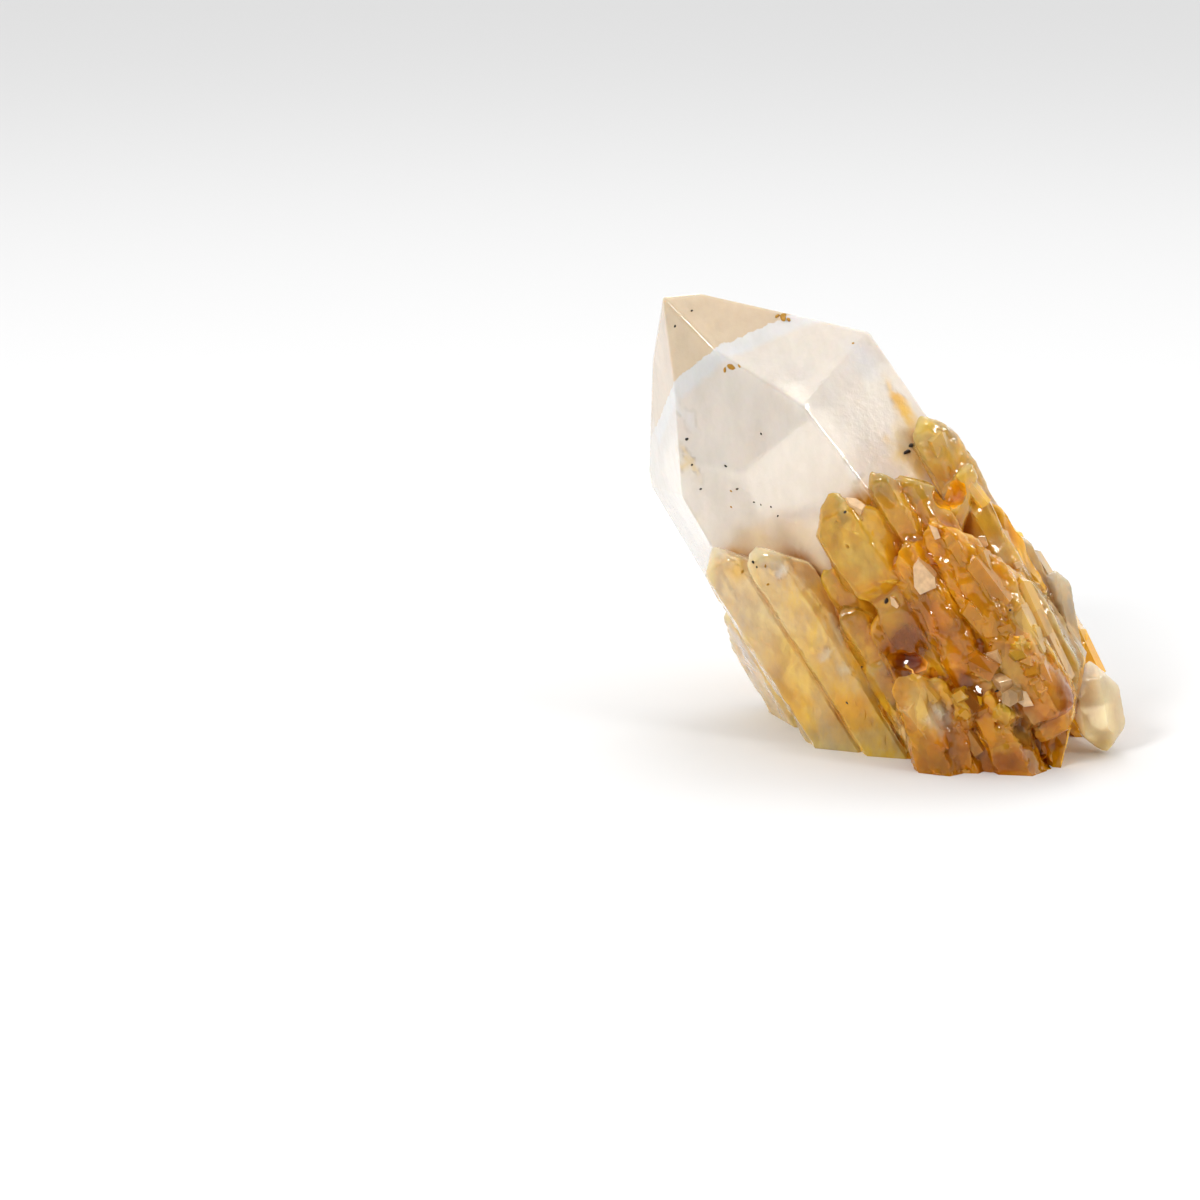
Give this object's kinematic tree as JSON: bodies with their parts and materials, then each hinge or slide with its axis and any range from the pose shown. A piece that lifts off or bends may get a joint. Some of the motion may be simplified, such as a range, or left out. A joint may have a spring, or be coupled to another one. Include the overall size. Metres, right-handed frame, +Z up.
{
  "type": "pineapple quartz crystal cluster",
  "caption": "Clear, thick quartz point leaning left, its lower half clad in honey-yellow side crystals, resting on its broken root.",
  "frame": {"origin": "on the ground under the middle of the stone's outline", "axes": "+X to the right, away from the leaning point; +Y to the back, away from the honey-yellow front; +Z up"},
  "size_m": [0.0652, 0.0532, 0.0625],
  "materials": {
    "iron_stained_quartz": "clear to milky quartz, honey-yellow iron stain in the lower half"
  },
  "bodies": {
    "root": {"quartz_cluster": "iron_stained_quartz"}
  },
  "joints": []
}
